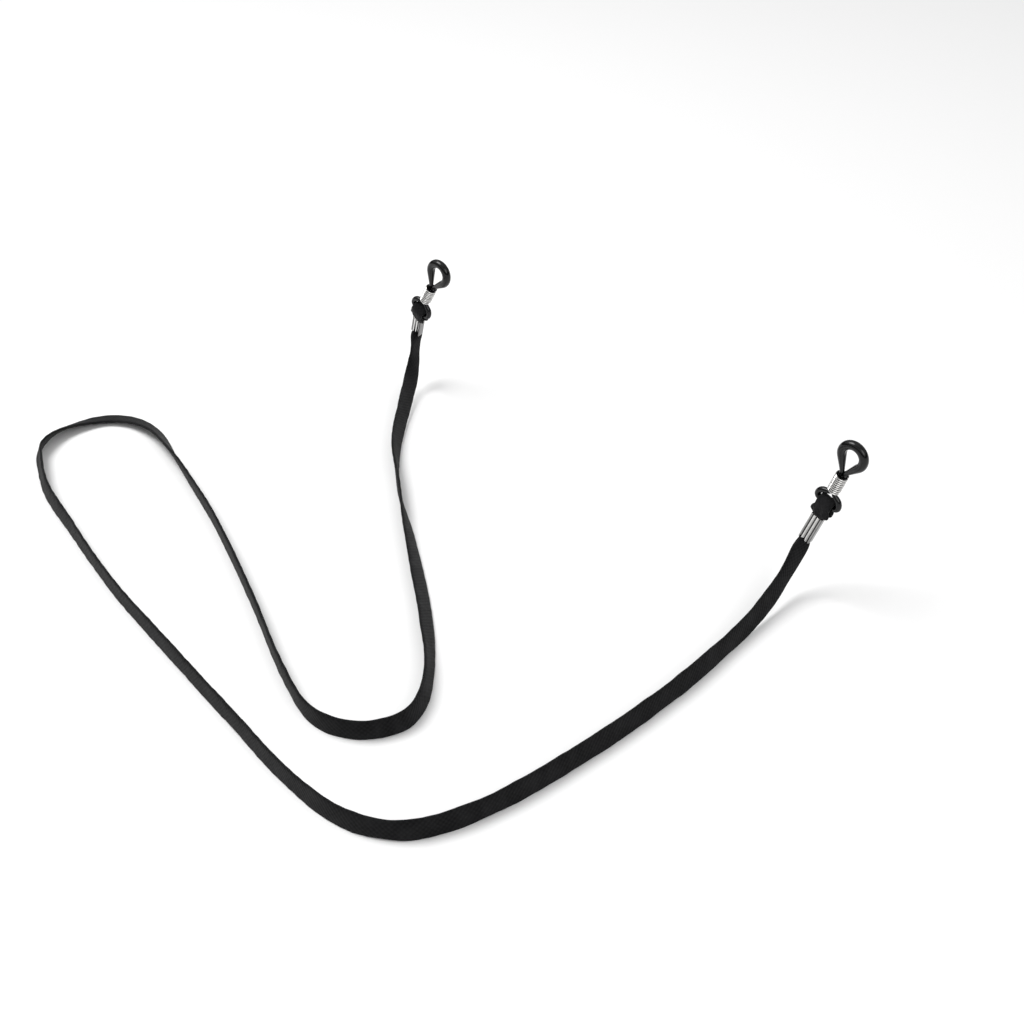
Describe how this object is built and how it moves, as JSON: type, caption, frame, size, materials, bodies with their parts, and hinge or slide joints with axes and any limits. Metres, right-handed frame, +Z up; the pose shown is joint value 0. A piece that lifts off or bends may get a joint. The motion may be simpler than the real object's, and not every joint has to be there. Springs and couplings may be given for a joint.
{
  "type": "eyeglass retainer strap",
  "caption": "Flat woven neck strap with a rubber temple loop, a sliding wire coil and a crimp ferrule at each end.",
  "frame": {"origin": "centre of the right temple loop, which the right temple arm holds up", "axes": "+X from the left fitting to the right one, +Y backwards along the temple arms, +Z up"},
  "size_m": [0.2153, 0.1423, 0.0457],
  "materials": {
    "tape": "matte woven",
    "rubber": "smooth moulded, slightly glossy",
    "crimp_metal": "polished",
    "coil_wire": "bright drawn wire"
  },
  "bodies": {
    "strap": {"strap_tape": "tape", "right_tape_fold": "tape", "left_tape_fold": "tape", "right_crimp": "crimp_metal", "left_crimp": "crimp_metal"},
    "right_loop": {"right_rubber_loop": "rubber"},
    "right_slide": {"right_coil": "coil_wire"},
    "left_loop": {"left_rubber_loop": "rubber"},
    "left_slide": {"left_coil": "coil_wire"}
  },
  "joints": [
    {"name": "right_loop_swing", "type": "hinge", "parent": "strap", "child": "right_loop", "pos_m": [-0.00594, 0, -0.01507], "axis": [0.9304, 0, -0.3665], "range_deg": [-90, 90]},
    {"name": "right_coil_slide", "type": "slide", "parent": "right_loop", "child": "right_slide", "axis": [-0.3665, 0, -0.9304], "range_m": [-0.0005, 0.0006]},
    {"name": "left_loop_swing", "type": "hinge", "parent": "strap", "child": "left_loop", "pos_m": [-0.14684, 0.0052, -0.01389], "axis": [0.8572, 0, -0.515], "range_deg": [-90, 90]},
    {"name": "left_coil_slide", "type": "slide", "parent": "left_loop", "child": "left_slide", "axis": [-0.515, 0, -0.8572], "range_m": [-0.0005, 0.0006]}
  ]
}
